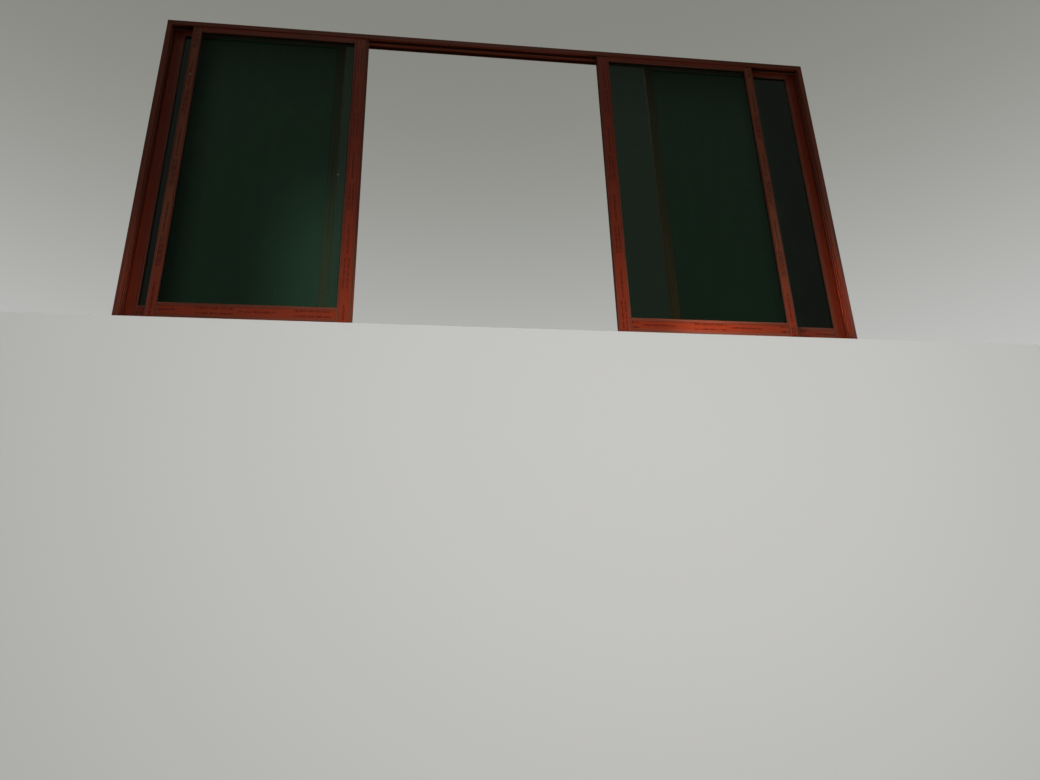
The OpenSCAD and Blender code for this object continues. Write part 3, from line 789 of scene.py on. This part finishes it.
class WINDOW_OT_screws(Operator):
    """Drive the screws that hold the corners of the frame and of the sashes"""
    bl_idname = "window.screws"
    bl_label = "Screws"

    def execute(self, context):
        settings = context.scene.window_screws
        steel = zinc_steel("zinc_plated_screws")
        sash_places = [place for sash in SASHES for place in self.sash_places(sash)]
        for name, places, size in (("frame_screws", self.frame_places(), settings.frame_head),
                                   ("sash_screws", sash_places, settings.sash_head)):
            head, patches = pan_head(size, size * settings.head_share)
            across, up, height = head.T
            points, faces = joined(
                (np.stack([x + side * height, y + across, z + side * up], -1), patches)
                for x, y, z, side in places)
            new_piece(name, points, faces, steel)
        return {"FINISHED"}

    def frame_places(self):
        """Two screws at each end of both jambs, on their outer faces."""
        (x0, y0, z0), (x1, _, z1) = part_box("left_jamb")[0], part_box("right_jamb")[1]
        return [(x, y, z, side) for x, side in ((x0, -1), (x1, 1))
                for y in (y0 + FRAME_PORT, FRAME_PORT_REAR)
                for z in (z0 + FRAME_PORT, z1 - FRAME_PORT)]

    def sash_places(self, sash):
        """Two screws at each end of both stiles, on the stiles' free edges."""
        lock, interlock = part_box(f"{sash}_lock_stile"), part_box(f"{sash}_interlock_stile")
        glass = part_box(f"{sash}_glass")
        middle = (glass[0].y + glass[1].y) / 2
        lock_side = 1 if lock[0].x > interlock[0].x else -1
        depth = LOCK_CHANNEL - (TONGUE_PLATE if sash == "front_left" else 0.0)
        lock_x = lock[lock_side > 0].x - lock_side * depth
        edges = ((lock_x, lock_side), (interlock[lock_side < 0].x, -lock_side))
        return [(x, middle + y, z, side) for x, side in edges for y in (-SASH_PORT, SASH_PORT)
                for z in (lock[1].z - SASH_PORT_TOP, lock[0].z + SASH_PORT_FOOT)]


class WINDOW_OT_specks(Operator):
    """Leave the specks of plaster that stick to the left front sash"""
    bl_idname = "window.specks"
    bl_label = "Plaster specks"

    def execute(self, context):
        tall = context.scene.window_specks.height
        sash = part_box("front_left_interlock_stile")
        drops = []
        for member, across, below, radius, seed in SPECKS:
            drop, patches = dried_drop(radius, tall, seed)
            x, z, height = drop.T
            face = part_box(f"front_left_{member}")[0].y
            placed = np.stack([sash[0].x + across + x, face - height, sash[1].z - below + z], -1)
            drops.append((placed, patches))
        points, faces = joined(drops)
        new_piece("plaster_specks", points, faces, dried_plaster("dried_plaster"))
        return {"FINISHED"}


def eye_surroundings(tree, height):
    """What the eye sees past the floor: pale, and darker with its height."""
    fade = add(tree, "ShaderNodeMapRange", {"Value": height, "From Min": 0.2, "From Max": 0.75},
               interpolation_type="SMOOTHSTEP")
    wall = add(tree, "ShaderNodeMix", {"Factor": fade, "A": linear("#CBCCCA"), "B": linear("#85867F")},
               data_type="RGBA")
    return add(tree, "ShaderNodeBackground", {"Color": wall})


def ambient_light(tree, depth):
    """The even dim light on the window, a little brighter behind it than in front."""
    ambient = add(tree, "ShaderNodeMapRange",
                  {"Value": depth, "From Min": -0.3, "From Max": 0.3,
                   "To Min": AMBIENT_FRONT, "To Max": AMBIENT_BACK}, interpolation_type="SMOOTHSTEP")
    return add(tree, "ShaderNodeBackground", {"Color": linear("#FFFAF2"), "Strength": ambient})


def mirrored_patches(tree, axes):
    """The soft patches in front that the glass mirrors.

    A patch is its brightness times the share of the direction that points ahead, times four
    smooth steps, one at each of its edges, in the direction's slopes.
    """
    ahead = add(tree, "ShaderNodeMath", {0: axes.outputs["Y"], 1: -1.0}, operation="MULTIPLY")
    # The slopes stay finite where the direction turns sideways.
    depth = add(tree, "ShaderNodeMath", {0: ahead, 1: 0.05}, operation="MAXIMUM")
    sideways, upwards = [
        add(tree, "ShaderNodeMath", {0: axes.outputs[axis], 1: depth}, operation="DIVIDE") for axis in "XZ"]
    bright = None
    for left, right, low, high, soft_u, soft_v, gain in PATCHES:
        shade = ahead
        for slope, start, end in ((sideways, left, left + soft_u), (sideways, right, right - soft_u),
                                  (upwards, low, low + soft_v), (upwards, high, high - soft_v)):
            edge = add(tree, "ShaderNodeMapRange", {"Value": slope, "From Min": start, "From Max": end},
                       interpolation_type="SMOOTHSTEP")
            shade = add(tree, "ShaderNodeMath", {0: shade, 1: edge}, operation="MULTIPLY")
        patch = add(tree, "ShaderNodeMath", {0: shade, 1: gain}, operation="MULTIPLY")
        if bright is None:
            bright = patch
        else:
            bright = add(tree, "ShaderNodeMath", {0: bright, 1: patch}, operation="ADD")
    return add(tree, "ShaderNodeBackground", {"Color": linear("#F0FFF6"), "Strength": bright})


def behind_glass(tree, height, path):
    """What the eye sees straight through the glass, when it doesn't look up."""
    start, end = BEHIND_GLASS_FADE
    level = add(tree, "ShaderNodeMapRange",
                {"Value": height, "From Min": start, "From Max": end, "To Min": BEHIND_GLASS, "To Max": 0.0},
                interpolation_type="SMOOTHSTEP")
    straight = add(tree, "ShaderNodeMath", {0: path.outputs["Diffuse Depth"], 1: 0.5}, operation="LESS_THAN")
    through = add(tree, "ShaderNodeMath", {0: path.outputs["Is Transmission Ray"], 1: straight},
                  operation="MULTIPLY")
    strength = add(tree, "ShaderNodeMath", {0: through, 1: level}, operation="MULTIPLY")
    return add(tree, "ShaderNodeBackground", {"Color": linear("#FFFAF2"), "Strength": strength})


class WINDOW_OT_studio(Operator):
    """Set up the floor, the soft lights, the pale surroundings and the camera"""
    bl_idname = "window.studio"
    bl_label = "Studio"

    def execute(self, context):
        settings = context.scene.window_studio
        self.lights(self.floor(settings))
        self.surroundings(context.scene)
        self.camera(context.scene, settings)
        return {"FINISHED"}

    def floor(self, settings):
        """A floor with a step down in front of the window: a bent profile carried along X."""
        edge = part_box("sill")[0].y - settings.ledge_front
        reach, drop = settings.floor_reach, settings.floor_drop
        profile = np.array([[-reach, -drop], [edge, -drop], [edge, 0.0], [reach, 0.0]])
        y, z = np.tile(profile, (2, 1)).T
        x = np.repeat([-reach, reach], len(profile))
        mesh = bpy.data.meshes.new("floor")
        mesh.from_pydata(np.stack([x, y, z], -1).tolist(), [], grid_faces(2, len(profile)).tolist())
        mesh.materials.append(studio_floor("matt_floor_paint"))
        floor = bpy.data.objects.new("floor", mesh)
        bpy.context.scene.collection.objects.link(floor)
        # The floor is seen, but throws no light up under the window and draws no line in the glass.
        floor.visible_diffuse = floor.visible_glossy = floor.visible_transmission = False
        return floor

    def lights(self, floor):
        """Soft boxes that the eye doesn't see, straight or through the glass.

        Those that would draw hard shapes in the glass aren't mirrored either.
        """
        for name, place, aim, wide, tall, power, tint, lit, shows in LIGHTS:
            lamp = bpy.data.lights.new(name, "AREA")
            lamp.shape, lamp.size, lamp.size_y = "RECTANGLE", wide, tall
            lamp.energy, lamp.color = power, linear(tint)[:3]
            if lit in NODES:
                lamp.spread = BEAM_SPREAD
            light = bpy.data.objects.new(name, lamp)
            light.location = place
            x, y, z = np.array(aim) - np.array(place)
            light.rotation_euler = (math.atan2(math.hypot(x, y), -z), 0.0, math.atan2(-x, y))
            light.visible_camera = False
            light.visible_transmission = False
            light.visible_glossy = shows
            bpy.context.scene.collection.objects.link(light)
            linked = bpy.data.collections.new(f"{name}_lights")
            linked.objects.link(NODES.get(lit, floor))
            light.light_linking.receiver_collection = linked
            state = "EXCLUDE" if lit == "window" else "INCLUDE"
            linked.collection_objects[0].light_linking.link_state = state

    def surroundings(self, scene):
        """Pale surroundings for the eye, and dim ones that light the window and show in the glass."""
        world = bpy.data.worlds.new("studio")
        world.use_nodes = True
        tree = world.node_tree
        tree.nodes.clear()
        direction = add(tree, "ShaderNodeTexCoord").outputs["Generated"]
        axes = add(tree, "ShaderNodeSeparateXYZ", {0: direction})
        depth, height = axes.outputs["Y"], axes.outputs["Z"]
        path = add(tree, "ShaderNodeLightPath")
        ambient, mirrored = ambient_light(tree, depth), mirrored_patches(tree, axes)
        dim = add(tree, "ShaderNodeAddShader", {0: ambient, 1: mirrored})
        dim = add(tree, "ShaderNodeAddShader", {0: dim, 1: behind_glass(tree, height, path)})
        both = add(tree, "ShaderNodeMixShader",
                   {0: path.outputs["Is Camera Ray"], 1: dim, 2: eye_surroundings(tree, height)})
        add(tree, "ShaderNodeOutputWorld", {"Surface": both})
        scene.world = world

    def camera(self, scene, settings):
        """The photograph's view, solved from the window's four corners."""
        data = bpy.data.cameras.new("camera")
        data.sensor_width = 36.0
        data.lens = settings.focal_px / PHOTO_W * data.sensor_width
        camera = bpy.data.objects.new("camera", data)
        camera.location = settings.camera_place
        camera.rotation_euler = settings.camera_turn
        scene.collection.objects.link(camera)
        scene.camera = camera
        scene.view_settings.view_transform = "Standard"
        scene.view_settings.look = "None"


class WINDOW_PT_finish(Panel):
    bl_idname = "WINDOW_PT_finish"
    bl_label = "Sliding window"
    bl_space_type = "VIEW_3D"
    bl_region_type = "UI"
    bl_category = "Window"

    def draw(self, context):
        for step in STEPS:
            self.layout.operator(step.bl_idname)
        for name in SETTINGS:
            box = self.layout.box()
            group = getattr(context.scene, name)
            for prop in group.bl_rna.properties:
                if not prop.is_readonly and prop.identifier != "name":
                    box.prop(group, prop.identifier)


STEPS = (
    WINDOW_OT_coating,
    WINDOW_OT_glass,
    WINDOW_OT_seals,
    WINDOW_OT_rollers,
    WINDOW_OT_film,
    WINDOW_OT_screws,
    WINDOW_OT_specks,
    WINDOW_OT_studio,
)
SETTINGS = {
    "window_coating": CoatingSettings,
    "window_glass": GlassSettings,
    "window_film": FilmSettings,
    "window_screws": ScrewSettings,
    "window_specks": SpeckSettings,
    "window_studio": StudioSettings,
}
CLASSES = (*SETTINGS.values(), *STEPS, WINDOW_PT_finish)


def register():
    for kind in CLASSES:
        bpy.utils.register_class(kind)
    for name, kind in SETTINGS.items():
        setattr(bpy.types.Scene, name, PointerProperty(type=kind))


def unregister():
    for name in SETTINGS:
        delattr(bpy.types.Scene, name)
    for kind in reversed(CLASSES):
        bpy.utils.unregister_class(kind)


def main():
    register()
    for step in STEPS:
        group, name = step.bl_idname.split(".")
        getattr(getattr(bpy.ops, group), name)()


if __name__ == "__main__":
    main()
